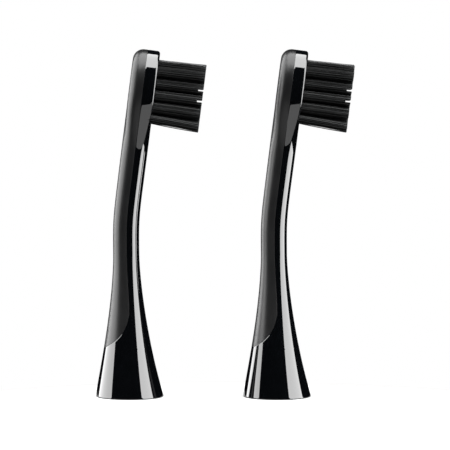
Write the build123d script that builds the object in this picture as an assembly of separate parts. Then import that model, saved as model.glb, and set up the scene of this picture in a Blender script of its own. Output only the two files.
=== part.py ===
from build123d import *
import os
from math import cos, exp, log, pi, radians, sin, sqrt, tan

# A set of two refill brush heads for a sonic toothbrush, standing upright side by side on their skirts.
# Millimetres, +Z up. Each head is modelled with its drive axis on Z and its rim at z = 0, bristles
# towards +X, and is then moved to its place. The set's origin is the bottom centre of its box.

# ---- overall sizes of one head ----
HEAD_HEIGHT = 78.0
SKIRT_DIAMETER = 15.5
NECK_DEPTH = 5.85
NECK_WIDTH = 5.5
PADDLE_WIDTH = 10.5
PADDLE_LENGTH = 24.0
HEAD_SPACING = 33.1

# ---- skirt and neck ----
FLARE_HEIGHT = 32.0
FLARE_POWER = 1.6
HEEL_SETBACK = 0.32
HEEL_RISE = 5.0
BACKWARD_LEAN = 0.77
FORWARD_LEAN = 7.3
BEND_BELOW_PADDLE = 14.3
BEND_SOFTNESS = 1.8
TURN_BELOW_PADDLE = 12.0
RIM_FILLET = 0.35

# ---- paddle ----
CROWN_HEIGHT = 8.3
CROWN_POWER = 2.3
CROWN_SWEEP = 76.0
CROWN_BACK_RADIUS = 2.5
CROWN_FRONT_RADIUS = 0.6
PADDLE_FRONT_SQUARENESS = 4.5
PADDLE_BACK_SQUARENESS = 2.5

# ---- soft back ----
SOFT_SKIN = 0.7
SEAM_AHEAD_OF_AXIS = 0.15
TONGUE_SHOULDER_HEIGHT = 19.0
TONGUE_SLOPE = 0.2
TONGUE_CURL = 0.009

# ---- hollow skirt and drive socket ----
SKIRT_WALL = 1.2
HOLLOW_DEPTH = 10.0
CORE_WALL = 0.9
CORE_MOUTH = 4.5
CORE_TOP = 20.0
CORE_END_WALL = 1.5
FLANGE_LIP = 0.6
FLANGE_THICKNESS = 1.0
SOCKET_HEADROOM = 0.6
SHAFT_RADIUS = 1.6
FLAT_DEPTH = 0.3
BORE_RELIEF = 0.25

# ---- retaining clip ----
CLIP_WIDTH = 2.0
CLIP_THICKNESS = 0.25
CLIP_SIDE_GAP = 0.1
LEAF_LENGTH = 8.0
LEAF_STANDOFF = 0.1
DIMPLE_REACH = 0.25
DIMPLE_RADIUS = 0.45
DIMPLE_RISE = 1.0
WINDOW_TOP_WALL = 1.5
LEAF_TIP_GAP = 0.7

# ---- bristles ----
TUFT_ROWS = 5
ROW_PITCH = 2.65
TOP_ROW_DROP = 4.75
TUFT_RADIUS = 0.85
TUFT_SPREAD = 0.03
TUFT_GAP = 0.05
BRISTLE_LENGTH = 10.8
HOLE_DEPTH = 2.7
EDGE_MARGIN = 1.85
ANCHOR_END_GAP = 0.05
ANCHOR_THICKNESS = 0.25
ANCHOR_HEIGHT = 1.0

# ---- how finely the loft is drawn, and how far cutting shapes run past what they cut ----
SECTION_POINTS = 20
SKIRT_SECTIONS = 6
NECK_SECTIONS = 5
PADDLE_SECTIONS = 4
CROWN_SECTIONS = 6
SEAM_POINTS = 8
TONGUE_POINTS = 5
TONGUE_EASE = 9.0
HOLLOW_SECTIONS = 4
CUT_OVERRUN = 1.0

# ---- places that follow from the sizes ----
PADDLE_START = HEAD_HEIGHT - PADDLE_LENGTH
CROWN_BASE = HEAD_HEIGHT - CROWN_HEIGHT
BEND_HEIGHT = PADDLE_START - BEND_BELOW_PADDLE
CORE_RADIUS = SHAFT_RADIUS + CORE_WALL
LEAF_INSIDE = SHAFT_RADIUS + LEAF_STANDOFF
LEAF_BOTTOM = CORE_TOP - LEAF_LENGTH
WINDOW_BOTTOM = LEAF_BOTTOM - LEAF_TIP_GAP
OUTER_COLUMN = PADDLE_WIDTH / 2 - EDGE_MARGIN
INNER_COLUMN = OUTER_COLUMN / 2
TUFT_SPACING = 2 * (TUFT_RADIUS + TUFT_SPREAD) + TUFT_GAP
LAST_OUTER_COLUMN = INNER_COLUMN + sqrt(TUFT_SPACING**2 - (ROW_PITCH / 2) ** 2)
UPRIGHT = (Align.CENTER, Align.CENTER, Align.MIN)


def smooth_step(value, start, end):
    """Rise from 0 at start to 1 at end with level ends."""
    share = min(max((value - start) / (end - start), 0.0), 1.0)
    return share * share * (3.0 - 2.0 * share)


def spaced(start, end, count):
    """Evenly spaced heights from start, with the end left out."""
    return [start + (end - start) * step / count for step in range(count)]


def axis_x(z):
    """Centre line: the foot kicks back, the neck leans back, then bends forward."""
    heel = HEEL_SETBACK * (1.0 - exp(-z / HEEL_RISE))
    back = tan(radians(BACKWARD_LEAN))
    turn = back + tan(radians(FORWARD_LEAN))
    bend = turn * BEND_SOFTNESS * log(1.0 + exp((z - BEND_HEIGHT) / BEND_SOFTNESS))
    return bend - heel - back * z


def flare(z):
    """Share of the skirt's spread that is left at a height, from 1 at the rim to 0."""
    return max(1.0 - z / FLARE_HEIGHT, 0.0) ** FLARE_POWER


def half_depth(z):
    """Half the thickness seen from the side."""
    neck = NECK_DEPTH / 2
    return neck + (SKIRT_DIAMETER / 2 - neck) * flare(z)


def half_width(z):
    """Half the width seen from the front, below the crown."""
    neck = NECK_WIDTH / 2
    paddle = (PADDLE_WIDTH / 2 - neck) * smooth_step(z, PADDLE_START, CROWN_BASE)
    return neck + (SKIRT_DIAMETER / 2 - neck) * flare(z) + paddle


def corner_setback(z, radius, top):
    """How far a rounded top corner draws the edge in at a height."""
    rise = z - (top - radius)
    if rise <= 0.0:
        return 0.0
    return radius - sqrt(max(radius * radius - rise * rise, 0.0))


def section(z, back, front, width, squareness_share):
    """Closed section square to the centre line, a superellipse whose front is squarer than its back."""
    front_power = 2.0 + (PADDLE_FRONT_SQUARENESS - 2.0) * squareness_share
    back_power = 2.0 + (PADDLE_BACK_SQUARENESS - 2.0) * squareness_share
    centre = (back + front) / 2
    depth = (front - back) / 2
    tilt = tan(radians(FORWARD_LEAN)) * smooth_step(z, PADDLE_START - TURN_BELOW_PADDLE, PADDLE_START)
    points = []
    for index in range(SECTION_POINTS):
        angle = 2 * pi * index / SECTION_POINTS
        along, across = cos(angle), sin(angle)
        power = front_power if along > 0 else back_power
        reach = (abs(along / depth) ** power + abs(across / width) ** power) ** (-1 / power)
        x = centre + reach * along
        points.append(Vector(x, reach * across, z - tilt * (x - axis_x(z))))
    return Face(Wire([Edge.make_spline(points, periodic=True)]))


def level(z, inset, top=None, width=None):
    """Section of the head at a height, drawn in all round by inset."""
    back = axis_x(z) - half_depth(z) + inset
    front = axis_x(z) + half_depth(z) - inset
    if top is not None:
        back += corner_setback(z, CROWN_BACK_RADIUS - inset, top)
        front -= corner_setback(z, max(CROWN_FRONT_RADIUS - inset, 0.0), top)
    if width is None:
        width = half_width(z) - inset
    return section(z, back, front, width, smooth_step(z, PADDLE_START, CROWN_BASE))


def head_body(inset, bottom):
    """The whole outside of a head, drawn in by inset, from a height to the crown."""
    top = HEAD_HEIGHT - inset
    power = 2 / CROWN_POWER
    end_rise = sin(radians(CROWN_SWEEP)) ** power
    heights = spaced(bottom, FLARE_HEIGHT, SKIRT_SECTIONS)
    heights += spaced(FLARE_HEIGHT, PADDLE_START, NECK_SECTIONS)
    heights += spaced(PADDLE_START, CROWN_BASE, PADDLE_SECTIONS)
    sections = [level(z, inset) for z in heights]
    for step in range(CROWN_SECTIONS + 1):
        angle = radians(CROWN_SWEEP * step / CROWN_SECTIONS)
        z = CROWN_BASE + (top - CROWN_BASE) * sin(angle) ** power / end_rise
        sections.append(level(z, inset, top, (PADDLE_WIDTH / 2 - inset) * cos(angle) ** power))
    return loft(sections)


def seam_region():
    """Everything behind the seam: up the middle of the sides, swept back round a tongue at the foot."""
    above, ease_end = HEAD_HEIGHT + 4 * CUT_OVERRUN, TONGUE_SHOULDER_HEIGHT + TONGUE_EASE
    seam = [(axis_x(z) + SEAM_AHEAD_OF_AXIS, z) for z in spaced(above, ease_end, SEAM_POINTS) + [ease_end]]
    deepest = ((SKIRT_DIAMETER / 2 + CUT_OVERRUN) / TONGUE_CURL) ** (1 / 3)
    for drop in spaced(0.0, deepest, TONGUE_POINTS) + [deepest]:
        seam.append((-TONGUE_SLOPE * drop - TONGUE_CURL * drop**3, TONGUE_SHOULDER_HEIGHT - drop))
    curve = Edge.make_spline([Vector(x, 0, z) for x, z in seam])
    rear = -HEAD_HEIGHT
    foot, head = seam[-1], seam[0]
    behind = Polyline((foot[0], 0, foot[1]), (rear, 0, foot[1]), (rear, 0, head[1]), (head[0], 0, head[1]))
    return extrude(Face(Wire([curve, *behind.edges()])), amount=SKIRT_DIAMETER, dir=(0, 1, 0), both=True)


def post(radius, bottom, top):
    """Round post on the local Z axis between two heights."""
    return Pos(0, 0, bottom) * Cylinder(radius, top - bottom, align=UPRIGHT)


def block(width, depth, bottom, top):
    """Block centred on the local Z axis between two heights."""
    return Pos(0, 0, bottom) * Box(width, depth, top - bottom, align=UPRIGHT)


def hollow():
    """The handle's nose goes in here: the skirt's inside, up to the ledge over the drive socket."""
    heights = spaced(-CUT_OVERRUN, HOLLOW_DEPTH, HOLLOW_SECTIONS) + [HOLLOW_DEPTH]
    room = loft([level(z, SKIRT_WALL) for z in heights])
    return room + post(CORE_RADIUS, HOLLOW_DEPTH - CUT_OVERRUN, CORE_TOP + SOCKET_HEADROOM)


def face_frame():
    """Plane on the paddle's front face at the top row: local X across, local Y up the paddle, local Z out."""
    z = HEAD_HEIGHT - TOP_ROW_DROP
    x = axis_x(z) + half_depth(z)
    lean = radians(FORWARD_LEAN)
    return Plane(origin=(x, 0, z), x_dir=(0, 1, 0), z_dir=(cos(lean), 0, -sin(lean)))


def row_places(row):
    """A row's tufts on the face frame: three across, and two set half a pitch above, between them.

    The paddle narrows at the last row, so its outer tufts stand as close to the others as they can.
    """
    along = -row * ROW_PITCH
    outer = LAST_OUTER_COLUMN if row == TUFT_ROWS - 1 else OUTER_COLUMN
    places = [(side * outer, along) for side in (-1, 0, 1)]
    return places + [(side * INNER_COLUMN, along + ROW_PITCH / 2) for side in (-1, 1)]


def tuft(place):
    """One bundle: a straight root in its hole and a slightly spreading free length."""
    free = Cone(TUFT_RADIUS, TUFT_RADIUS + TUFT_SPREAD, BRISTLE_LENGTH, align=UPRIGHT)
    return face_frame() * Pos(*place) * (post(TUFT_RADIUS, -HOLE_DEPTH, 0) + free)


def hole(place):
    """Blind hole for one tuft."""
    return face_frame() * Pos(*place) * post(TUFT_RADIUS, -HOLE_DEPTH, CUT_OVERRUN)


def anchor(place):
    """Flat wire across the fold of one tuft, at the bottom of its hole."""
    length = 2 * (TUFT_RADIUS - ANCHOR_END_GAP)
    return face_frame() * Pos(*place) * block(length, ANCHOR_THICKNESS, -HOLE_DEPTH, ANCHOR_HEIGHT - HOLE_DEPTH)


def bore():
    """Hole for the drive shaft: a round sliding fit at the mouth, then relieved and keyed for its tip."""
    fit = post(SHAFT_RADIUS, CORE_MOUTH - CUT_OVERRUN, WINDOW_BOTTOM)
    relief = post(SHAFT_RADIUS + BORE_RELIEF, WINDOW_BOTTOM, CORE_TOP - CORE_END_WALL)
    key = block(CORE_RADIUS, 2 * CORE_RADIUS, WINDOW_BOTTOM, CORE_TOP)
    return fit + relief - Pos(SHAFT_RADIUS - FLAT_DEPTH + CORE_RADIUS / 2, 0, 0) * key


def clip_room():
    """Slot through the core for the clip's leaves, left solid between them at the top."""
    width = CLIP_WIDTH + 2 * CLIP_SIDE_GAP
    slot = block(width, 4 * CORE_RADIUS, WINDOW_BOTTOM, CORE_TOP)
    return slot - block(width, 2 * LEAF_INSIDE, CORE_TOP - WINDOW_TOP_WALL, CORE_TOP)


def shaft_core():
    """Press-fitted drive socket: a flanged collar with its bore and the clip's slot."""
    collar = post(CORE_RADIUS, CORE_MOUTH, CORE_TOP)
    flange = post(CORE_RADIUS + FLANGE_LIP, HOLLOW_DEPTH - FLANGE_THICKNESS, HOLLOW_DEPTH)
    return collar + flange - bore() - clip_room()


def clip_bridge():
    """Strip over the core's top that joins the two leaves."""
    return block(CLIP_WIDTH, 2 * (LEAF_INSIDE + CLIP_THICKNESS), CORE_TOP, CORE_TOP + CLIP_THICKNESS)


def clip_leaf(side):
    """One hanging leaf of the clip, with the dimple that snaps into the shaft's notch."""
    strip = block(CLIP_WIDTH, CLIP_THICKNESS, LEAF_BOTTOM, CORE_TOP)
    strip = Pos(0, LEAF_INSIDE + CLIP_THICKNESS / 2, 0) * strip
    dimple_place = Pos(0, LEAF_INSIDE - DIMPLE_REACH + DIMPLE_RADIUS, LEAF_BOTTOM + DIMPLE_RISE)
    dimple = dimple_place * Rot(0, 90, 0) * Cylinder(DIMPLE_RADIUS, CLIP_WIDTH)
    dimple &= block(CLIP_WIDTH, 2 * LEAF_INSIDE, LEAF_BOTTOM, CORE_TOP)
    return Rot(0, 0, 0 if side > 0 else 180) * (strip + dimple)


def build_head():
    """All the pieces of one head by name, in the head's own place."""
    outside = head_body(0.0, 0.0)
    rim = outside.edges().sort_by(Axis.Z)[0]
    outside = fillet(rim, RIM_FILLET)
    under_skin = head_body(SOFT_SKIN, 0.0)
    skin_room = seam_region() - under_skin
    soft_back = outside & skin_room
    rows = [row_places(row) for row in range(TUFT_ROWS)]
    anchors = [anchor(place) for row in rows for place in row]
    holes = [hole(place) for row in rows for place in row]
    shell = outside - skin_room - hollow() - holes
    pieces = {
        "neck_shell": shell,
        "soft_back": soft_back,
        "shaft_core": shaft_core(),
        "clip_bridge": clip_bridge(),
        "clip_leaf_right": clip_leaf(-1),
        "clip_leaf_left": clip_leaf(1),
        "tuft_anchors": Compound([solid for piece in anchors for solid in piece.solids()]),
    }
    for row, places in enumerate(rows):
        tufts = [tuft(place) - anchor(place) for place in places]
        pieces[f"tuft_row_{row + 1}"] = Compound([solid for piece in tufts for solid in piece.solids()])
    return pieces


def main():
    """Write one file for each piece of both heads."""
    os.makedirs("parts", exist_ok=True)
    pieces = build_head()
    boxes = [piece.bounding_box() for piece in pieces.values()]
    rear = min(box.min.X for box in boxes)
    front = max(box.max.X for box in boxes)
    middle = (rear + front + HEAD_SPACING) / 2
    for side, offset in (("left", 0.0), ("right", HEAD_SPACING)):
        for name, piece in pieces.items():
            export_step(Pos(offset - middle, 0, 0) * piece, f"parts/{side}_{name}.step")


main()
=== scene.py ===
import logging
import math
from dataclasses import dataclass, field
from enum import Enum

import bmesh
import bpy
import numpy as np
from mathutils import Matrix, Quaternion, Vector


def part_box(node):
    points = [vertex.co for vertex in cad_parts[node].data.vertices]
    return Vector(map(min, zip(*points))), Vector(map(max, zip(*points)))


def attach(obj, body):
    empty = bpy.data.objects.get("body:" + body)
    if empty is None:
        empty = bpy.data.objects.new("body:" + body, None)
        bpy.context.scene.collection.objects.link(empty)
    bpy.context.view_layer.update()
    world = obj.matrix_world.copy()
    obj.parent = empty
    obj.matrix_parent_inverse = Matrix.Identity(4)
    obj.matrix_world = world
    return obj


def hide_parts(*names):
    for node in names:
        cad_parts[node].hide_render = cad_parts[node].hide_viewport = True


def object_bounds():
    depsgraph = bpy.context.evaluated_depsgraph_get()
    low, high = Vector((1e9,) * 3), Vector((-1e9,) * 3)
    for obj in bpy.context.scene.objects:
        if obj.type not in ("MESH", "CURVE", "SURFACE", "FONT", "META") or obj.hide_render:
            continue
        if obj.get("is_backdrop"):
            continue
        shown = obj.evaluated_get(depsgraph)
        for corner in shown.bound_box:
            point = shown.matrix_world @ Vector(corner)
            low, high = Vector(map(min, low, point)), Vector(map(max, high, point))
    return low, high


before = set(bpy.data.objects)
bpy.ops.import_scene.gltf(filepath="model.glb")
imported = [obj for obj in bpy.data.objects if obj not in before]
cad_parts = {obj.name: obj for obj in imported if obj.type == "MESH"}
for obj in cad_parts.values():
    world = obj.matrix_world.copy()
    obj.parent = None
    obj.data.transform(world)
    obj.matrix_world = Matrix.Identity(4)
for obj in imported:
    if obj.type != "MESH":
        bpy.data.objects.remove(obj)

# Looks of a pair of black refill brush heads for a sonic toothbrush. Each head is a gloss shell with a
# soft moulded back, 25 bristle tufts of single filaments and a drive socket inside the skirt. Metres.

LOG = logging.getLogger("brush_heads")
MM = 0.001
CREASE_DEGREES = 38.0


class Side(Enum):
    """The two heads of the set, by the prefix of their node names."""

    LEFT = "left"
    RIGHT = "right"


class Patch(Enum):
    """The two stretches of a head's skin, either side of the seam."""

    FRONT = "front"
    BACK = "back"


# ---------------------------------------------------------------------------------------------
# Shader expressions
# ---------------------------------------------------------------------------------------------


class Signal:
    """One shader output, so that shader maths reads as a Python expression."""

    def __init__(self, graph: "Graph", socket: bpy.types.NodeSocket) -> None:
        """Keep the graph and the socket that carries the value."""
        self.graph = graph
        self.socket = socket

    def _math(self, operation: str, first: object, second: object) -> "Signal":
        """Add one Math node.

        Args:
            operation: Name of the Math node's operation.
            first: Signal or number for the first input.
            second: Signal or number for the second input.

        Returns:
            The node's value.
        """
        return self.graph.node("ShaderNodeMath", {"operation": operation}, {0: first, 1: second})

    def __add__(self, other: object) -> "Signal":
        """Sum."""
        return self._math("ADD", self, other)

    def __radd__(self, other: object) -> "Signal":
        """Sum with a number in front."""
        return self._math("ADD", other, self)

    def __sub__(self, other: object) -> "Signal":
        """Difference."""
        return self._math("SUBTRACT", self, other)

    def __rsub__(self, other: object) -> "Signal":
        """Difference from a number in front."""
        return self._math("SUBTRACT", other, self)

    def __mul__(self, other: object) -> "Signal":
        """Product."""
        return self._math("MULTIPLY", self, other)

    def __rmul__(self, other: object) -> "Signal":
        """Product with a number in front."""
        return self._math("MULTIPLY", other, self)

    def power(self, exponent: float) -> "Signal":
        """Raise to a constant power."""
        return self._math("POWER", self, exponent)


class Graph:
    """Builds one material's nodes."""

    def __init__(self, name: str) -> None:
        """Start an empty node tree with a Principled shader and an output."""
        self.material = bpy.data.materials.new(name)
        self.material.use_nodes = True
        self.tree = self.material.node_tree
        self.tree.nodes.clear()
        self.output = self.tree.nodes.new("ShaderNodeOutputMaterial")
        self.shader = self.tree.nodes.new("ShaderNodeBsdfPrincipled")
        self.tree.links.new(self.shader.outputs[0], self.output.inputs[0])

    def node(self, kind: str, settings: dict, inputs: dict, output: int | str = 0) -> Signal:
        """Add one node.

        Args:
            kind: Blender's name for the node's type.
            settings: Properties set before the inputs; "stops" fills a colour ramp.
            inputs: Socket name or number to a signal or a constant.
            output: Socket that the returned signal carries.

        Returns:
            The chosen output.
        """
        made = self.tree.nodes.new(kind)
        for key, value in settings.items():
            if key == "stops":
                self._fill_ramp(made.color_ramp, value)
            else:
                setattr(made, key, value)
        for key, value in inputs.items():
            if isinstance(value, Signal):
                self.tree.links.new(value.socket, made.inputs[key])
            else:
                made.inputs[key].default_value = value
        return Signal(self, made.outputs[output])

    @staticmethod
    def _fill_ramp(ramp: bpy.types.ColorRamp, stops: list) -> None:
        """Set a ramp's (position, grey) stops."""
        while len(ramp.elements) < len(stops):
            ramp.elements.new(1.0)
        for element, (position, grey) in zip(ramp.elements, stops):
            element.position = position
            element.color = (grey, grey, grey, 1.0)

    def place(self, stretch: tuple = (1.0, 1.0, 1.0)) -> Signal:
        """Object coordinates, scaled along each axis."""
        where = self.node("ShaderNodeTexCoord", {}, {}, "Object")
        return self.node("ShaderNodeMapping", {}, {"Vector": where, "Scale": stretch})

    def noise(self, size: float, detail: float, stretch: tuple = (1.0, 1.0, 1.0)) -> Signal:
        """Noise whose blobs are about size metres across, from 0 to 1."""
        inputs = {"Vector": self.place(stretch), "Scale": 1.0 / size, "Detail": detail, "Roughness": 0.55}
        return self.node("ShaderNodeTexNoise", {}, inputs, "Fac")

    def attribute(self, name: str) -> Signal:
        """A number stored on the mesh."""
        return self.node("ShaderNodeAttribute", {"attribute_name": name}, {}, "Fac")

    def blend(self, share: Signal, low: tuple, high: tuple) -> Signal:
        """Colour between two colours by a share from 0 to 1."""
        settings = {"data_type": "RGBA"}
        return self.node("ShaderNodeMix", settings, {0: share, 6: (*low, 1.0), 7: (*high, 1.0)}, 2)

    def bump(self, height: Signal, distance: float, strength: float) -> Signal:
        """Surface normal from a height field."""
        return self.node("ShaderNodeBump", {}, {"Height": height, "Distance": distance, "Strength": strength})

    def feed(self, **inputs: object) -> None:
        """Set or link the Principled shader's inputs; underscores stand for spaces."""
        for key, value in inputs.items():
            socket = self.shader.inputs[key.replace("_", " ")]
            if isinstance(value, Signal):
                self.tree.links.new(value.socket, socket)
            else:
                socket.default_value = value


# ---------------------------------------------------------------------------------------------
# Finishes
# ---------------------------------------------------------------------------------------------


@dataclass(frozen=True)
class GlossShellFinish:
    """Piano-black moulded plastic: mirror gloss with faint mould ripple and handling haze."""

    deep: tuple = (0.0003, 0.0004, 0.0005)
    sheen_side: tuple = (0.0007, 0.0008, 0.0010)
    roughness: float = 0.022
    haze: float = 0.03
    ripple_size: float = 5.0 * MM
    haze_size: float = 2.4 * MM

    def make(self) -> bpy.types.Material:
        """Build the material."""
        graph = Graph("gloss_black_shell")
        cloud = graph.noise(self.haze_size, 4.0)
        ripple = graph.noise(self.ripple_size, 1.0)
        speck = graph.noise(0.12 * MM, 2.0).power(9.0)
        graph.feed(
            Base_Color=graph.blend(cloud, self.deep, self.sheen_side),
            Roughness=self.roughness + cloud.power(3.0) * self.haze + speck * 0.1,
            Normal=graph.bump(ripple, 0.02 * MM, 0.25),
            IOR=1.52,
        )
        return graph.material


@dataclass(frozen=True)
class SoftTouchFinish:
    """Matt thermoplastic rubber: fine spark-eroded grain, slightly more or less polished in soft random patches."""

    low: tuple = (0.0012, 0.0012, 0.0013)
    high: tuple = (0.0022, 0.0022, 0.0023)
    roughness: float = 0.27
    grain_size: float = 0.11 * MM
    cloud_size: float = 3.5 * MM

    def make(self) -> bpy.types.Material:
        """Build the material."""
        graph = Graph("soft_touch_back")
        grain = graph.noise(self.grain_size, 3.0)
        cloud = graph.noise(self.cloud_size, 3.0)
        graph.feed(
            Base_Color=graph.blend(cloud, self.low, self.high),
            Roughness=self.roughness + cloud * 0.08 + grain * 0.06,
            Normal=graph.bump(grain, 0.012 * MM, 0.35),
            IOR=1.5,
            Specular_IOR_Level=0.23,
        )
        return graph.material


@dataclass(frozen=True)
class BristleFinish:
    """Black nylon filament: each strand a little lighter or duller than the next at random, and a painted highlight
    makes the strands on the upper side of each tuft lighter and glossier, as where light from above falls.
    """

    dark: tuple = (0.0003, 0.0004, 0.0004)
    light: tuple = (0.013, 0.014, 0.0145)

    def make(self) -> bpy.types.Material:
        """Build the material."""
        graph = Graph("nylon_filament")
        # Painted highlight: each strand's value is a random tone times a share that rises towards the upper side of
        # its tuft. It lightens the base colour and raises the coat gloss.
        tone_and_highlight = graph.attribute("strand_tone_and_highlight")
        along = graph.attribute("strand_along")
        fleck = graph.noise(0.5 * MM, 2.0)
        # Each strand is lighter over the last few hundredths of its length, towards its tip.
        lighter_tip = along.power(14.0) * 0.35
        graph.feed(
            Base_Color=graph.blend(tone_and_highlight.power(3.0) * 0.8 + lighter_tip, self.dark, self.light),
            Roughness=0.24 + tone_and_highlight * 0.2 + fleck * 0.12,
            Normal=graph.bump(fleck, 0.01 * MM, 0.3),
            IOR=1.53,
            Specular_IOR_Level=0.07,
            Coat_Weight=tone_and_highlight.power(4.0),
            Coat_Roughness=0.22,
        )
        return graph.material


@dataclass(frozen=True)
class AcetalFinish:
    """Natural acetal of the drive core: waxy off-white with faint flow marks."""

    low: tuple = (0.60, 0.60, 0.57)
    high: tuple = (0.72, 0.72, 0.69)

    def make(self) -> bpy.types.Material:
        """Build the material."""
        graph = Graph("natural_acetal")
        flow = graph.noise(1.2 * MM, 3.0, (1.0, 1.0, 0.35))
        graph.feed(
            Base_Color=graph.blend(flow, self.low, self.high),
            Roughness=0.38 + flow * 0.15,
            Normal=graph.bump(flow, 0.01 * MM, 0.3),
            Subsurface_Weight=0.1,
            Subsurface_Radius=(0.6 * MM, 0.6 * MM, 0.5 * MM),
        )
        return graph.material


@dataclass(frozen=True)
class StripMetalFinish:
    """Rolled strip or drawn wire: fine lines along one axis."""

    name: str
    low: tuple
    high: tuple
    lines: tuple = (1.0, 12.0, 0.4)

    def make(self) -> bpy.types.Material:
        """Build the material."""
        graph = Graph(self.name)
        line = graph.noise(0.5 * MM, 3.0, self.lines)
        graph.feed(
            Base_Color=graph.blend(line, self.low, self.high),
            Roughness=0.2 + line * 0.2,
            Normal=graph.bump(line, 0.004 * MM, 0.3),
            Metallic=1.0,
        )
        return graph.material


@dataclass(frozen=True)
class FloorFinish:
    """Seamless studio card, lit to white, with a barely visible tooth."""

    low: tuple = (0.25, 0.25, 0.25)
    high: tuple = (0.28, 0.28, 0.28)

    def make(self) -> bpy.types.Material:
        """Build the material."""
        graph = Graph("studio_card")
        tooth = graph.noise(0.6 * MM, 2.0)
        graph.feed(
            Base_Color=graph.blend(tooth, self.low, self.high),
            Roughness=0.85 + tooth * 0.1,
            Normal=graph.bump(tooth, 0.01 * MM, 0.1),
            Specular_IOR_Level=0.1,
        )
        return graph.material


# ---------------------------------------------------------------------------------------------
# Mesh helpers
# ---------------------------------------------------------------------------------------------


def smooth_step(value: np.ndarray, start: float, end: float) -> np.ndarray:
    """Rise from 0 at start to 1 at end with level ends: 3 s squared less 2 s cubed.

    Args:
        value: Where to read it.
        start: Where the rise begins.
        end: Where the rise is complete.

    Returns:
        Shares from 0 to 1.
    """
    share = np.clip((np.asarray(value, float) - start) / (end - start), 0.0, 1.0)
    return share * share * (3.0 - 2.0 * share)


def surface_normals(points: np.ndarray) -> np.ndarray:
    """Outward unit normals of a grid of points: the cross product of its two tangents.

    Args:
        points: Grid of shape (rows, columns, 3) that wraps round a centre line.

    Returns:
        Normals of the same shape, turned away from each row's middle.
    """
    normal = np.cross(np.gradient(points, axis=1), np.gradient(points, axis=0))
    size = np.linalg.norm(normal, axis=2, keepdims=True)
    normal = normal / np.maximum(size, 1e-12)
    middle = points.mean(axis=1, keepdims=True)
    outward = np.sign(np.sum(normal * (points - middle)))
    return normal * outward


def ring_faces(rows: int, columns: int) -> np.ndarray:
    """Quads between neighbouring rings of a grid whose columns close on themselves.

    Args:
        rows: Number of rings.
        columns: Points in each ring.

    Returns:
        Vertex numbers, four to a face.
    """
    row, column = np.meshgrid(np.arange(rows - 1), np.arange(columns), indexing="ij")
    after = (column + 1) % columns
    low, high = row * columns, (row + 1) * columns
    return np.stack([low + column, low + after, high + after, high + column], axis=-1).reshape(-1, 4)


def make_piece(name: str, points: np.ndarray, faces: list, material: bpy.types.Material) -> bpy.types.Object:
    """Put points and faces into a new object at the origin.

    Args:
        name: The piece's name.
        points: Vertex places, shape (count, 3).
        faces: Lists of vertex numbers.
        material: Its finish.

    Returns:
        The linked object.
    """
    mesh = bpy.data.meshes.new(name)
    mesh.from_pydata(points.tolist(), [], faces)
    mesh.materials.append(material)
    mesh.update()
    piece = bpy.data.objects.new(name, mesh)
    bpy.context.scene.collection.objects.link(piece)
    return piece


def close_up(piece: bpy.types.Object, sharp_degrees: float) -> None:
    """Merge the doubled points at poles and tips, turn faces outwards and shade smoothly.

    Args:
        piece: The object to finish.
        sharp_degrees: Edges that bend more than this stay crisp.
    """
    work = bmesh.new()
    work.from_mesh(piece.data)
    bmesh.ops.remove_doubles(work, verts=work.verts, dist=0.002 * MM)
    bmesh.ops.dissolve_degenerate(work, dist=0.0005 * MM, edges=work.edges)
    bmesh.ops.recalc_face_normals(work, faces=work.faces)
    work.to_mesh(piece.data)
    work.free()
    piece.data.shade_smooth()
    piece.data.set_sharp_from_angle(angle=math.radians(sharp_degrees))


# ---------------------------------------------------------------------------------------------
# The outer form of a head
# ---------------------------------------------------------------------------------------------


@dataclass
class OutlineRows:
    """Rows of the skin: each runs from a point on the front-view outline to a point on the spine."""

    height: np.ndarray
    half_width: np.ndarray
    spine: np.ndarray


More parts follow.
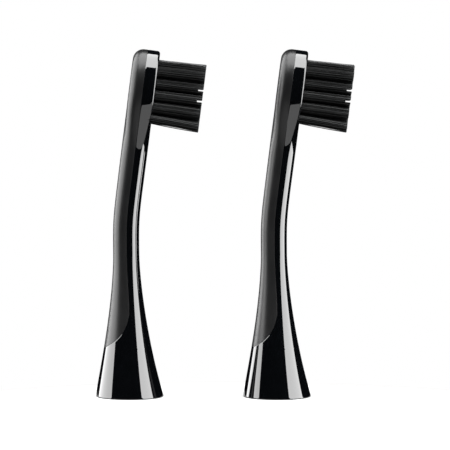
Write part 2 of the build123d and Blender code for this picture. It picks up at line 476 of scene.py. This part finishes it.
@dataclass
class HeadForm:
    """Outside of one head, as formulas of height above the rim. Sizes in metres."""

    drive_x: float
    height: float
    skirt_radius: float = 7.69 * MM
    neck_depth: float = 5.85 * MM
    neck_width: float = 5.5 * MM
    paddle_width: float = 10.5 * MM
    flare_height: float = 32.0 * MM
    flare_power: float = 1.6
    heel_setback: float = 0.32 * MM
    heel_rise: float = 5.0 * MM
    backward_lean: float = 0.77
    forward_lean: float = 7.3
    bend_height: float = 39.7 * MM
    bend_softness: float = 1.8 * MM
    turn_start: float = 42.0 * MM
    shoulder_start: float = 54.0 * MM
    turn_overrun: float = 3.0 * MM
    square_from: float = 1.0 * MM
    square_over: float = 12.0 * MM
    crown_height: float = 8.3 * MM
    crown_power: float = 2.3
    crown_spine: float = 3.6 * MM
    front_edge_radius: float = 0.6 * MM
    back_edge_radius: float = 2.35 * MM
    seam_ahead: float = 0.15 * MM
    seam_swell: float = 0.4 * MM
    seam_ease: float = 13.0 * MM
    tongue_shoulder: float = 19.0 * MM
    tongue_slope: float = 0.2
    tongue_curl: float = 0.009 / MM**2
    tongue_search_from: float = 6.0 * MM
    tongue_search_steps: int = 4000

    @property
    def paddle_middle(self) -> float:
        """Height at which the paddle is widest."""
        return self.height - self.crown_height

    @property
    def lean(self) -> float:
        """Forward slope of the upper neck and paddle."""
        return math.tan(math.radians(self.forward_lean))

    def axis(self, z: np.ndarray) -> np.ndarray:
        """Centre line: an exponential kick at the heel, a straight lean back, and a soft bend forward."""
        heel = self.heel_setback * (1.0 - np.exp(-z / self.heel_rise))
        back = math.tan(math.radians(self.backward_lean))
        turn = (back + self.lean) * self.bend_softness
        return turn * np.log1p(np.exp((z - self.bend_height) / self.bend_softness)) - heel - back * z

    def flare(self, z: np.ndarray) -> np.ndarray:
        """Share of the skirt's spread left at a height: one less the height share, to a power."""
        return np.clip(1.0 - z / self.flare_height, 0.0, None) ** self.flare_power

    def half_depth(self, z: np.ndarray) -> np.ndarray:
        """Half the side-view thickness."""
        neck = self.neck_depth / 2
        return neck + (self.skirt_radius - neck) * self.flare(z)

    def half_width(self, z: np.ndarray) -> np.ndarray:
        """Half the front-view width below the paddle's widest point."""
        neck = self.neck_width / 2
        paddle = (self.paddle_width / 2 - neck) * smooth_step(z, self.shoulder_start, self.paddle_middle)
        return neck + (self.skirt_radius - neck) * self.flare(z) + paddle

    def squareness(self, z: np.ndarray) -> np.ndarray:
        """0 where sections are round, 1 where they are the paddle's flat-faced shape."""
        start = self.shoulder_start + self.square_from
        return smooth_step(z, start, start + self.square_over)

    def seam(self, z: np.ndarray) -> np.ndarray:
        """Seam's place ahead of the centre line: level up the neck, a cubic sweep back below the shoulder."""
        below = np.clip(self.tongue_shoulder - z, 0.0, None)
        above = smooth_step(z, self.tongue_shoulder, self.tongue_shoulder + self.seam_ease)
        level = self.seam_ahead + self.seam_swell * (1.0 - above)
        return level - self.tongue_slope * below - self.tongue_curl * below**3

    def tongue_tip(self) -> float:
        """Height where the seam meets the back of the skirt."""
        z = np.linspace(self.tongue_search_from, self.tongue_shoulder, self.tongue_search_steps)
        inside = self.seam(z) > -self.half_depth(z)
        return float(z[inside][0])

    def rows(self, low: np.ndarray, crown_steps: int) -> OutlineRows:
        """Rows of the skin up the head.

        Above the widest point the outline is a superellipse, walked by angle, and the spine climbs
        with the sine squared of that angle, so that the rows fan round the crown.

        Args:
            low: Heights of the level rows, up to the paddle's widest point.
            crown_steps: Rows round the crown.

        Returns:
            The outline and spine of every row.
        """
        angle = np.linspace(0.0, math.pi / 2, crown_steps + 1)[1:]
        power = 2.0 / self.crown_power
        top = self.paddle_middle + self.crown_height * np.sin(angle) ** power
        wide = self.paddle_width / 2 * np.clip(np.cos(angle), 0.0, None) ** power
        wide[-1] = 0.0
        spine = self.paddle_middle + (self.crown_height - self.crown_spine) * np.sin(angle) ** 2
        return OutlineRows(
            np.concatenate([low, top]), np.concatenate([self.half_width(low), wide]), np.concatenate([low, spine])
        )

    def skin(self, rows: OutlineRows, share: np.ndarray, patch: Patch, inset: np.ndarray | float) -> np.ndarray:
        """Points of one side of the skin, y positive.

        Each row's section is a blend of an ellipse and a flat-faced shape with a small front edge radius
        and a large back one. A section gives the distance in from the outline and the place along the
        depth; the distance is laid off towards the spine and the depth is tilted square to the lean.

        Args:
            rows: The rows to work out.
            share: Columns; 0 to 1 from the front middle to the seam, or from the seam to the back middle.
            patch: Which side of the seam.
            inset: How far the skin is drawn in, one number or one for each row.

        Returns:
            Grid of shape (rows, columns, 3).
        """
        drawn = np.broadcast_to(np.asarray(inset, float).reshape(-1, 1), (len(rows.height), 1))
        z = rows.height[:, None]
        depth = self.half_depth(z) - drawn
        reach = np.hypot(rows.half_width[:, None], z - rows.spine[:, None])
        room = np.maximum(reach - drawn, 1e-7)
        seam = np.clip(self.seam(z), -depth, depth)
        seam_angle = np.arccos(np.clip(self.seam(z) / depth, -1.0, 1.0))
        square = self.squareness(z)
        if patch is Patch.FRONT:
            angle = share * seam_angle
            inward, along = self._front_profile(share, depth, room, seam, drawn)
        else:
            angle = seam_angle + (math.pi - seam_angle) * share
            inward, along = self._back_profile(share, depth, room, seam, drawn)
        inward = (1 - square) * room * (1 - np.sin(angle)) + square * inward
        along = (1 - square) * depth * np.cos(angle) + square * along
        laid = np.clip((drawn + inward) / np.maximum(reach, 1e-7), 0.0, 1.0)
        y = rows.half_width[:, None] * (1 - laid)
        height = z + (rows.spine[:, None] - z) * laid
        tilt = self.lean * smooth_step(z, self.turn_start, self.shoulder_start + self.turn_overrun)
        x = self.drive_x + self.axis(height) + along
        return np.stack(np.broadcast_arrays(x, y, height - tilt * along), axis=-1)

    def _front_profile(self, share: np.ndarray, depth: np.ndarray, room: np.ndarray, seam: np.ndarray,
                       drawn: np.ndarray) -> tuple:
        """Flat face, small edge radius and side wall, each over a fixed part of the columns.

        Args:
            share: Columns from the middle to the seam.
            depth: Half thickness of each row.
            room: Distance from outline to spine of each row.
            seam: Seam place of each row.
            drawn: Inset of each row.

        Returns:
            Distance in from the outline, and place along the depth.
        """
        radius = np.maximum(self.front_edge_radius - drawn, 0.05 * MM)
        flat = np.clip(share / 0.4, 0.0, 1.0)
        turn = np.clip((share - 0.4) / 0.3, 0.0, 1.0) * math.pi / 2
        wall = np.clip((share - 0.7) / 0.3, 0.0, 1.0)
        inward = (room - radius) * (1 - flat) + radius * (1 - np.sin(turn))
        along = depth - radius * (1 - np.cos(turn))
        return inward, along + (seam - (depth - radius)) * wall

    def _back_profile(self, share: np.ndarray, depth: np.ndarray, room: np.ndarray, seam: np.ndarray,
                      drawn: np.ndarray) -> tuple:
        """Side wall, large edge radius and back face, each over a fixed part of the columns.

        Args:
            share: Columns from the seam to the back middle.
            depth: Half thickness of each row.
            room: Distance from outline to spine of each row.
            seam: Seam place of each row.
            drawn: Inset of each row.

        Returns:
            Distance in from the outline, and place along the depth.
        """
        radius = np.minimum(self.back_edge_radius - drawn, room)
        wall = np.clip(share / 0.2, 0.0, 1.0)
        turn = np.clip((share - 0.2) / 0.5, 0.0, 1.0) * math.pi / 2
        flat = np.clip((share - 0.7) / 0.3, 0.0, 1.0)
        inward = radius * (1 - np.cos(turn)) + (room - radius) * flat
        along = seam + (-(depth - radius) - seam) * wall - radius * np.sin(turn)
        return inward, along

    def ring(self, z: float, inset: float, angle: np.ndarray) -> np.ndarray:
        """One level ring in the skirt: an ellipse drawn in by inset, at the given angles from the front."""
        level = np.asarray(z, float)
        x = self.drive_x + self.axis(level) + (self.half_depth(level) - inset) * np.cos(angle)
        y = (self.half_width(level) - inset) * np.sin(angle)
        return np.stack([x, y, np.full_like(x, z)], axis=-1)


def mirror_columns(half: np.ndarray, middle_first: bool) -> np.ndarray:
    """Join a one-sided patch to its mirror image in y.

    Args:
        half: Grid with y positive.
        middle_first: Whether column 0 is on the middle plane, rather than the last column.

    Returns:
        A grid that runs from one seam to the other.
    """
    other = half * np.array([1.0, -1.0, 1.0])
    if middle_first:
        return np.concatenate([other[:, :0:-1], half], axis=1)
    return np.concatenate([half, other[:, -2::-1]], axis=1)


def seam_columns(count: int) -> np.ndarray:
    """Distances from the seam, 0 to 1, close together at the seam."""
    near = np.array([0.0, 0.006, 0.014, 0.024, 0.038, 0.055])
    return np.concatenate([near, np.linspace(0.08, 1.0, count)])


@dataclass
class SeamGroove:
    """The fine parting groove along the seam: a dip that fades as a bell curve."""

    depth: float = 0.05 * MM
    spread: float = 0.014

    def cut(self, points: np.ndarray, from_seam: np.ndarray) -> np.ndarray:
        """Sink the points next to the seam along their normals."""
        dip = self.depth * np.exp(-((from_seam / self.spread) ** 2))
        return points - surface_normals(points) * dip[None, :, None]


# ---------------------------------------------------------------------------------------------
# Pieces of a head
# ---------------------------------------------------------------------------------------------


@dataclass
class NeckShell:
    """Gloss moulding: outside, rim, hollow skirt and drive socket as one closed skin."""

    form: HeadForm
    name: str
    socket_radius: float
    socket_top: float
    skirt_wall: float = 1.2 * MM
    hollow_depth: float = 10.0 * MM
    rim_radius: float = 0.22 * MM
    inner_rim_radius: float = 0.2 * MM
    bed_inset: float = 0.72 * MM
    bed_fade: float = 0.12
    crown_rows: int = 44
    groove: SeamGroove = field(default_factory=SeamGroove)

    def outside(self) -> np.ndarray:
        """Rings from above the rim to the crown: the gloss front, then the bed under the soft back."""
        form = self.form
        tip = form.tongue_tip()
        low = np.concatenate([
            np.linspace(self.rim_radius, tip, 40, endpoint=False),
            tip + (form.tongue_shoulder - tip) * np.linspace(0.0, 1.0, 60, endpoint=False) ** 2,
            np.linspace(form.tongue_shoulder, form.paddle_middle, 150),
        ])
        rows = form.rows(low, self.crown_rows)
        from_seam = seam_columns(40)
        front = mirror_columns(form.skin(rows, 1 - from_seam[::-1], Patch.FRONT, 0.0), True)
        front = self.groove.cut(front, np.concatenate([from_seam, from_seam[-2::-1]]))
        height = rows.height
        gone = math.pi - np.arccos(np.clip(form.seam(height) / form.half_depth(height), -1.0, 1.0))
        bed = self.bed_inset * np.clip(gone / self.bed_fade, 0.0, 1.0)
        back = mirror_columns(form.skin(rows, np.linspace(0.0, 1.0, 20), Patch.BACK, bed), False)
        return np.concatenate([front, back], axis=1)

    def inside(self, columns: np.ndarray) -> np.ndarray:
        """Rings from the rim's rounding up the hollow, across the ledge and up the socket.

        Args:
            columns: Angle of each column from the front.

        Returns:
            Grid from the socket's top down to the rim.
        """
        form, rings = self.form, []
        for turn in np.linspace(0.0, math.pi / 2, 7):
            inset = self.rim_radius * (1 - math.cos(turn))
            rings.append(form.ring(self.rim_radius * (1 - math.sin(turn)), inset, columns))
        for turn in np.linspace(0.0, math.pi / 2, 5):
            inset = self.skirt_wall - self.inner_rim_radius * (1 - math.sin(turn))
            rings.append(form.ring(self.inner_rim_radius * (1 - math.cos(turn)), inset, columns))
        for z in np.linspace(self.inner_rim_radius, self.hollow_depth, 14)[1:]:
            rings.append(form.ring(z, self.skirt_wall, columns))
        for z, radius in (
            (self.hollow_depth, self.socket_radius), (self.socket_top, self.socket_radius), (self.socket_top, 0.0)
        ):
            x = form.drive_x + radius * np.cos(columns)
            rings.append(np.stack([x, radius * np.sin(columns), np.full_like(x, z)], axis=-1))
        return np.array(rings[::-1])

    def build(self, material: bpy.types.Material) -> bpy.types.Object:
        """Make the closed shell."""
        outside = self.outside()
        first = outside[0]
        middle = self.form.drive_x + float(self.form.axis(np.asarray(self.rim_radius)))
        angles = np.arctan2(first[:, 1], first[:, 0] - middle)
        grid = np.concatenate([self.inside(angles)[:-1], outside], axis=0)
        faces = ring_faces(grid.shape[0], grid.shape[1])
        piece = make_piece(self.name, grid.reshape(-1, 3), faces.tolist(), material)
        close_up(piece, CREASE_DEGREES)
        return piece


@dataclass
class SoftBack:
    """Matt skin over the back of paddle, neck and skirt, ending in a tongue."""

    form: HeadForm
    name: str
    thickness: float = 0.7 * MM
    crown_rows: int = 44
    groove: SeamGroove = field(default_factory=lambda: SeamGroove(0.02 * MM, 0.01))

    def build(self, material: bpy.types.Material) -> bpy.types.Object:
        """Make the closed skin: its outside and its underside joined along the seam."""
        form = self.form
        tip = form.tongue_tip()
        low = np.concatenate([
            tip + (form.tongue_shoulder - tip) * np.linspace(0.0, 1.0, 70, endpoint=False) ** 2,
            np.linspace(form.tongue_shoulder, form.paddle_middle, 150),
        ])
        rows = form.rows(low, self.crown_rows)
        from_seam = seam_columns(32)
        outside = mirror_columns(form.skin(rows, from_seam, Patch.BACK, 0.0), False)
        outside = self.groove.cut(outside, np.concatenate([from_seam, from_seam[-2::-1]]))
        underside = mirror_columns(form.skin(rows, np.linspace(0.0, 1.0, 16), Patch.BACK, self.thickness), False)
        grid = np.concatenate([outside, underside[:, ::-1]], axis=1)
        faces = ring_faces(grid.shape[0], grid.shape[1])
        piece = make_piece(self.name, grid.reshape(-1, 3), faces.tolist(), material)
        close_up(piece, CREASE_DEGREES)
        return piece


@dataclass
class BristleField:
    """Tufts of separate nylon filaments on the paddle's face."""

    form: HeadForm
    prefix: str
    rows: int = 5
    row_pitch: float = 2.65 * MM
    top_row_drop: float = 4.75 * MM
    outer_column: float = 3.4 * MM
    last_outer_column: float = 2.95 * MM
    inner_column: float = 1.7 * MM
    root_radius: float = 1.05 * MM
    tip_radius: float = 1.10 * MM
    length: float = 10.70 * MM
    root_depth: float = 0.8 * MM
    lift: float = 0.15 * MM
    droop: float = 0.7 * MM
    notch_lines: tuple = (-3.15 * MM, -5.63 * MM)
    notch_half: float = 0.30 * MM
    notch_slope: float = 0.0875
    notch_depth: float = 1.15 * MM
    strands: int = 60
    strand_radius: float = 0.1 * MM
    strand_sides: int = 5
    tip_taper: float = 0.55
    stray: float = 0.06 * MM
    unevenness: float = 0.035 * MM
    bow: float = 0.22 * MM
    # Painted highlight: across each tuft's disc, the strands' tone rises from none at the lower side to full at the
    # upper side.
    upper_highlight_band: tuple = (-0.7, 0.75)
    seed: int = 7

    def face_frame(self) -> tuple:
        """Origin and the three directions of the paddle's face: across, up the paddle, and out."""
        form = self.form
        z = form.height - self.top_row_drop
        x = form.drive_x + float(form.axis(np.asarray(z)) + form.half_depth(np.asarray(z)))
        lean = math.radians(form.forward_lean)
        up = np.array([math.sin(lean), 0.0, math.cos(lean)])
        out = np.array([math.cos(lean), 0.0, -math.sin(lean)])
        return np.array([x, 0.0, z]), np.array([0.0, 1.0, 0.0]), up, out

    def places(self, row: int) -> np.ndarray:
        """Tuft centres of a row on the face: three across, and two half a pitch above, between them."""
        outer = self.last_outer_column if row == self.rows - 1 else self.outer_column
        along = -row * self.row_pitch
        spots = [(side * outer, along) for side in (-1, 0, 1)]
        spots += [(side * self.inner_column, along + self.row_pitch / 2) for side in (-1, 1)]
        return np.array(spots)

    def disc(self) -> np.ndarray:
        """Places of a tuft's filaments in a unit disc, packed as a sunflower head."""
        number = np.arange(self.strands)
        turn = number * math.pi * (3.0 - math.sqrt(5.0))
        rise = np.sqrt((number + 0.5) / self.strands)
        return np.stack([rise * np.cos(turn), rise * np.sin(turn)], axis=-1)

    def strand_lines(self, row: int, dice: np.random.Generator) -> tuple:
        """Centre lines of a row's filaments.

        Each filament runs out straight from its place in the tuft's disc, spreads with distance and
        bows sideways as a half sine. The upper rows lean up and the last one down, by the cube of the row's
        share. Filaments whose tips fall on a notch line are cut short; the lines slope across the paddle.

        Args:
            row: Row number from the top.
            dice: Seeded random numbers.

        Returns:
            Centres of shape (strands, levels, 3) on the face frame, and the level shares.
        """
        spots = self.places(row)
        disc = self.disc()
        root = spots[:, None] + disc[None] * self.root_radius
        stray = dice.normal(0.0, self.stray, root.shape)
        tip = spots[:, None] + disc[None] * self.tip_radius + stray
        tip[..., 1] += self.lift - self.droop * (row / (self.rows - 1)) ** 3
        level = np.array([0.0, 0.2, 0.4, 0.6, 0.8, 0.975, 1.0])
        side = dice.uniform(-1.0, 1.0, root.shape) * self.bow
        flat = root[:, :, None] + (tip - root)[:, :, None] * level[:, None]
        flat = flat + side[:, :, None] * np.sin(math.pi * level)[:, None] * 0.5
        level_up = tip[..., 1] + self.notch_slope * tip[..., 0]
        off_line = np.abs(level_up[..., None] - np.array(self.notch_lines)).min(axis=-1)
        reach = self.length - np.abs(dice.normal(0.0, self.unevenness, off_line.shape))
        reach = reach - np.where(off_line < self.notch_half, self.notch_depth, 0.0)
        out = -self.root_depth + (reach[:, :, None] + self.root_depth) * level
        lines = np.concatenate([flat, out[..., None]], axis=-1)
        return lines.reshape(-1, len(level), 3), level

    def build(self, row: int, material: bpy.types.Material) -> bpy.types.Object:
        """Make one row's filaments as thin closed tubes with rounded ends."""
        dice = np.random.default_rng(self.seed + row)
        lines, level = self.strand_lines(row, dice)
        count, levels, sides = len(lines), len(level), self.strand_sides
        angle = np.linspace(0.0, 2 * math.pi, sides, endpoint=False)
        wide = np.where(level < 1.0, 1.0, self.tip_taper) * self.strand_radius
        ring = np.stack([np.cos(angle), np.sin(angle), np.zeros(sides)], axis=-1)
        local = lines[:, :, None] + ring[None, None] * wide[None, :, None, None]
        origin, across, up, out = self.face_frame()
        points = origin + local[..., :1] * across + local[..., 1:2] * up + local[..., 2:] * out
        quads = ring_faces(levels, sides)
        start = (np.arange(count) * levels * sides)[:, None, None]
        walls = (quads[None] + start).reshape(-1, 4).tolist()
        foot = np.arange(sides)[::-1][None] + start[:, 0]
        cap = np.arange(sides)[None] + (levels - 1) * sides + start[:, 0]
        piece = make_piece(
            f"{self.prefix}_bristles_{row + 1}", points.reshape(-1, 3), walls + foot.tolist() + cap.tolist(), material
        )
        # Painted highlight: strands on the upper side of each tuft, where light from above falls, get a higher tone,
        # times a random tone for each strand.
        upper_highlight = smooth_step(np.tile(self.disc()[:, 1], len(self.places(row))), *self.upper_highlight_band)
        self._store(piece, "strand_tone_and_highlight", np.repeat(dice.random(count) * upper_highlight, levels * sides))
        self._store(piece, "strand_along", np.tile(np.repeat(level, sides), count))
        piece.data.shade_smooth()
        piece.data.set_sharp_from_angle(angle=math.radians(80.0))
        return piece

    @staticmethod
    def _store(piece: bpy.types.Object, name: str, values: np.ndarray) -> None:
        """Store one number for each vertex."""
        piece.data.attributes.new(name, "FLOAT", "POINT").data.foreach_set("value", values.astype(np.float32))


@dataclass
class Finishes:
    """Every material of the set, made once."""

    gloss: bpy.types.Material
    soft: bpy.types.Material
    nylon: bpy.types.Material
    acetal: bpy.types.Material
    steel: bpy.types.Material
    brass: bpy.types.Material

    @classmethod
    def make(cls) -> "Finishes":
        """Build all the materials."""
        steel = StripMetalFinish("spring_steel_strip", (0.50, 0.50, 0.51), (0.66, 0.66, 0.67))
        brass = StripMetalFinish("anchor_wire", (0.62, 0.47, 0.24), (0.78, 0.62, 0.36), (8.0, 1.0, 1.0))
        return cls(
            GlossShellFinish().make(), SoftTouchFinish().make(), BristleFinish().make(),
            AcetalFinish().make(), steel.make(), brass.make(),
        )


class BrushHead:
    """One complete head: it builds its skins and bristles and dresses its inner CAD pieces."""

    CROWN_BELOW_BOX = 0.09 * MM
    ROOM_OVER_BRIDGE = 0.35 * MM
    CORE_ROOM_RADIUS = 2.5 * MM

    def __init__(self, side: Side) -> None:
        """Find the head's place from its drive core and its shell."""
        self.side = side
        self.body = f"{side.value}_head"
        core_low, core_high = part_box(self.node("shaft_core"))
        shell_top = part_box(self.node("neck_shell"))[1][2]
        bridge_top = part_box(self.node("clip_bridge"))[1][2]
        self.form = HeadForm((core_low[0] + core_high[0]) / 2, shell_top - self.CROWN_BELOW_BOX)
        self.socket_top = bridge_top + self.ROOM_OVER_BRIDGE

    def node(self, name: str) -> str:
        """This head's node of a given name."""
        return f"{self.side.value}_{name}"

    def build(self, finishes: Finishes) -> None:
        """Make every piece of the head and put it on its body."""
        shell = NeckShell(self.form, self.node("gloss_shell"), self.CORE_ROOM_RADIUS, self.socket_top)
        self.settle(shell.build(finishes.gloss), "neck_shell")
        back = SoftBack(self.form, self.node("soft_touch_back"))
        self.settle(back.build(finishes.soft), "soft_back")
        bristles = BristleField(self.form, self.side.value)
        for row in range(bristles.rows):
            self.settle(bristles.build(row, finishes.nylon), f"tuft_row_{row + 1}")
        self.dress(finishes)

    def settle(self, piece: bpy.types.Object, replaced: str) -> None:
        """Ride a piece on this head's body in place of a CAD node, and report it.

        Args:
            piece: The finished piece.
            replaced: Name of the node it stands for, without the side.
        """
        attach(piece, self.body)
        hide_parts(self.node(replaced))
        LOG.info("%s: %d faces", piece.name, len(piece.data.polygons))

    def dress(self, finishes: Finishes) -> None:
        """Give the CAD pieces inside the skirt and paddle their finishes."""
        dressing = {
            "shaft_core": finishes.acetal,
            "clip_bridge": finishes.steel,
            "clip_leaf_left": finishes.steel,
            "clip_leaf_right": finishes.steel,
            "tuft_anchors": finishes.brass,
        }
        for name, material in dressing.items():
            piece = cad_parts[self.node(name)]
            piece.data.materials.clear()
            piece.data.materials.append(material)
            LOG.info("%s: dressed as %s", piece.name, material.name)


# ---------------------------------------------------------------------------------------------
# Studio
# ---------------------------------------------------------------------------------------------


@dataclass
class Softbox:
    """One rectangular light, placed by the angles it covers as seen from the heads."""

    name: str
    azimuth: float
    half_spread: float
    low: float
    high: float
    radiance: float
    roll: float
    distance: float = 0.55

    def build(self, target: Vector) -> None:
        """Hang the light so that it faces the target, rolled about its own facing direction."""
        elevation = math.radians((self.low + self.high) / 2)
        around = math.radians(self.azimuth)
        away = Vector((
            math.sin(around) * math.cos(elevation), -math.cos(around) * math.cos(elevation), math.sin(elevation)
        ))
        light = bpy.data.lights.new(self.name, "AREA")
        light.shape = "RECTANGLE"
        light.size = 2 * self.distance * math.tan(math.radians(self.half_spread))
        light.size_y = 2 * self.distance * math.tan(math.radians((self.high - self.low) / 2))
        light.energy = self.radiance * math.pi * light.size * light.size_y
        lamp = bpy.data.objects.new(self.name, light)
        lamp.location = target + away * self.distance
        facing = away.to_track_quat("Z", "Y")
        lamp.rotation_euler = (facing @ Quaternion((0.0, 0.0, 1.0), math.radians(self.roll))).to_euler()
        lamp.visible_camera = False
        bpy.context.scene.collection.objects.link(lamp)


@dataclass
class Studio:
    """White card, three softboxes, a bright backdrop for the camera alone, and the camera."""

    low: Vector
    high: Vector
    card_radius: float = 0.092
    card_forward: float = 0.068
    card_drop: float = 0.02 * MM
    card_rings: int = 24
    card_points: int = 96
    frame_width: float = 100.8 * MM
    lens: float = 420.0
    elevation: float = 5.0
    aim_drop: float = 0.45 * MM
    softboxes: tuple = (
        Softbox("right_softbox", 72.0, 23.0, -24.0, 50.0, 12.5, 24.0),
        Softbox("left_softbox", -97.5, 32.5, -14.0, 52.0, 10.0, 0.0),
        Softbox("top_softbox", 0.0, 34.0, 39.0, 105.0, 14.0, 0.0),
    )

    @property
    def target(self) -> Vector:
        """Middle of the set's box."""
        return (self.low + self.high) / 2

    def build_card(self) -> None:
        """Round white card under the set: rings of points whose radius grows to the edge."""
        radius = np.linspace(0.0, self.card_radius, self.card_rings)
        angle = np.linspace(0.0, 2 * math.pi, self.card_points, endpoint=False)
        x = self.target.x + radius[:, None] * np.cos(angle)
        y = radius[:, None] * np.sin(angle) - self.card_forward
        points = np.stack([x, y, np.full_like(x, self.low.z - self.card_drop)], axis=-1)
        faces = ring_faces(self.card_rings, self.card_points).tolist()
        card = make_piece("studio_card", points.reshape(-1, 3), faces, FloorFinish().make())
        close_up(card, 60.0)
        if card.data.polygons[0].normal.z < 0:
            card.data.flip_normals()
        card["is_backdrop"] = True

    def build_world(self) -> None:
        """Bright for the camera's own rays and dark in reflections, as a backdrop far behind flags."""
        world = bpy.data.worlds.new("studio_world")
        bpy.context.scene.world = world
        world.use_nodes = True
        tree = world.node_tree
        tree.nodes.clear()
        path = tree.nodes.new("ShaderNodeLightPath")
        seen, dark = tree.nodes.new("ShaderNodeBackground"), tree.nodes.new("ShaderNodeBackground")
        seen.inputs[0].default_value = (1.0, 1.0, 1.0, 1.0)
        dark.inputs[0].default_value = (0.004, 0.004, 0.005, 1.0)
        mix, output = tree.nodes.new("ShaderNodeMixShader"), tree.nodes.new("ShaderNodeOutputWorld")
        tree.links.new(path.outputs["Is Camera Ray"], mix.inputs[0])
        tree.links.new(dark.outputs[0], mix.inputs[1])
        tree.links.new(seen.outputs[0], mix.inputs[2])
        tree.links.new(mix.outputs[0], output.inputs[0])

    def build_camera(self) -> None:
        """Long lens from the heads' right side, a little above level, aimed at the set's middle."""
        camera = bpy.data.cameras.new("studio_camera")
        camera.lens = self.lens
        camera.sensor_width = 36.0
        distance = self.lens / camera.sensor_width * self.frame_width
        camera.clip_end = 20.0
        holder = bpy.data.objects.new("studio_camera", camera)
        rise = math.radians(self.elevation)
        away = Vector((0.0, -math.cos(rise), math.sin(rise)))
        aim = self.target - Vector((0.0, 0.0, self.aim_drop))
        holder.location = aim + away * distance
        holder.rotation_euler = away.to_track_quat("Z", "Y").to_euler()
        bpy.context.scene.collection.objects.link(holder)
        bpy.context.scene.camera = holder

    def build(self) -> None:
        """Set up everything that isn't part of the object."""
        self.build_card()
        self.build_world()
        for softbox in self.softboxes:
            softbox.build(self.target)
        self.build_camera()
        bpy.context.scene.view_settings.view_transform = "Standard"


def main() -> None:
    """Build the set and its studio."""
    logging.basicConfig(level=logging.INFO, format="%(name)s %(message)s")
    cad_box = [list(map(float, corner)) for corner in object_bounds()]
    Studio(Vector(cad_box[0]), Vector(cad_box[1])).build()
    finishes = Finishes.make()
    for side in Side:
        BrushHead(side).build(finishes)


if __name__ == "__main__":
    main()
